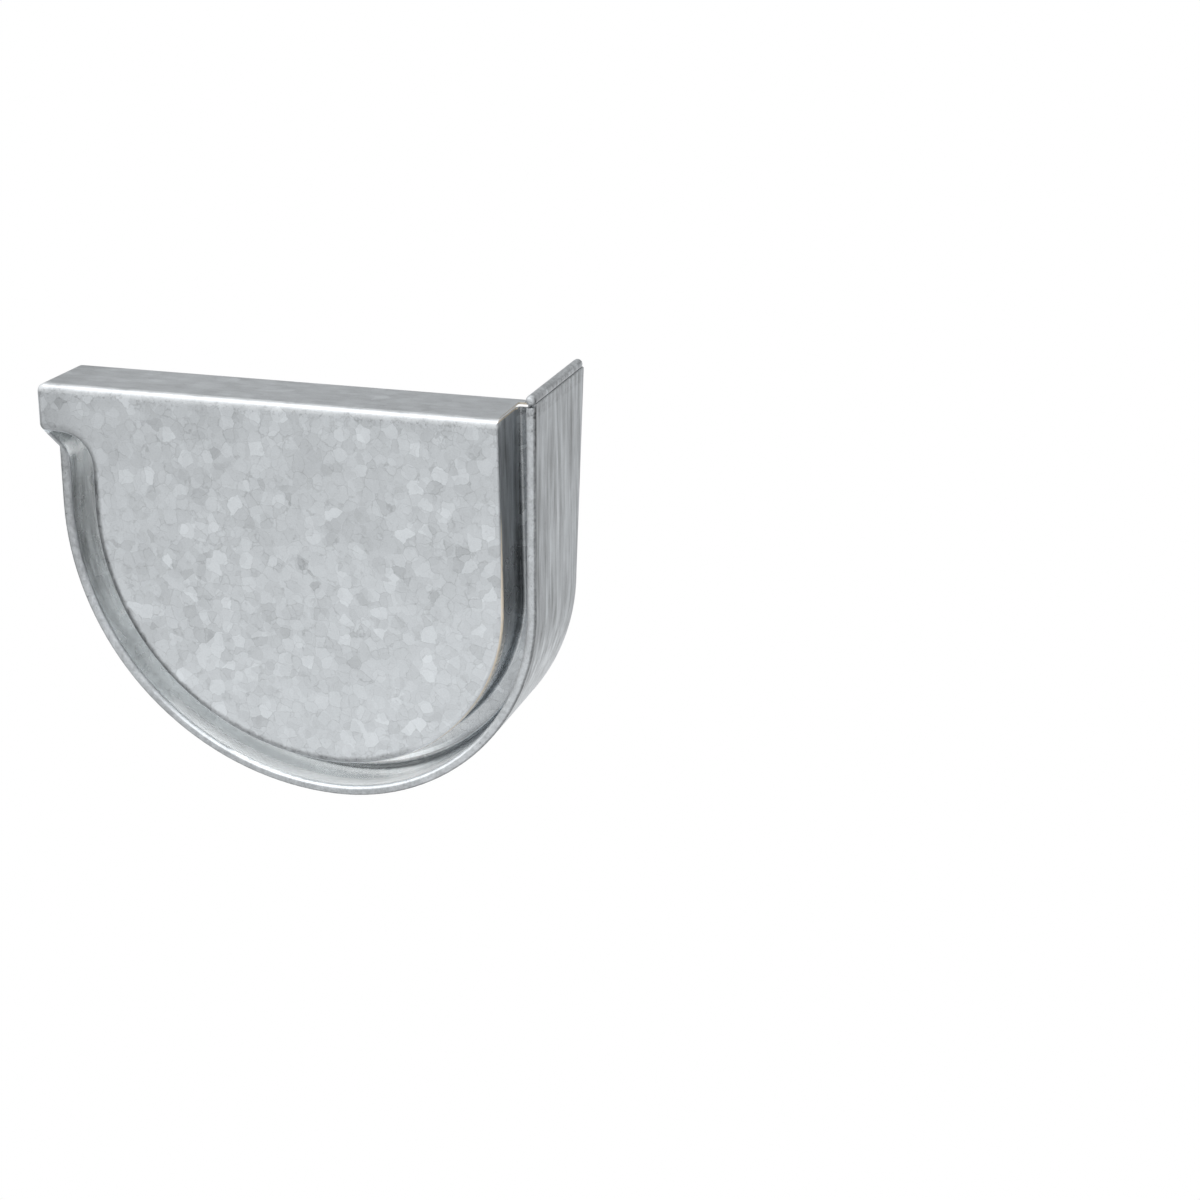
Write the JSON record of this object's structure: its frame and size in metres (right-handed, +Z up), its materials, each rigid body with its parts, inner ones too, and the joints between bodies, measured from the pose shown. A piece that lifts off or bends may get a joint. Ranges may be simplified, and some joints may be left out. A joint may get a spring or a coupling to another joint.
{
  "type": "gutter end cap",
  "caption": "Folded galvanised end cap for a flat-backed half-round gutter, with a U-channel round its plate, a front bead, a top flange and a rolled edge on the back wall.",
  "frame": {"origin": "on the outer face of the back wall, level with the top flange and halfway along the flange that grips the gutter", "axes": "+X towards the wall behind the gutter, +Y along the gutter into it, +Z up"},
  "size_m": [0.1522, 0.0472, 0.1262],
  "materials": {
    "galvanised_steel": "spangled hot-dip zinc, semi-matt"
  },
  "bodies": {
    "root": {"end_cap": "galvanised_steel"}
  },
  "joints": []
}
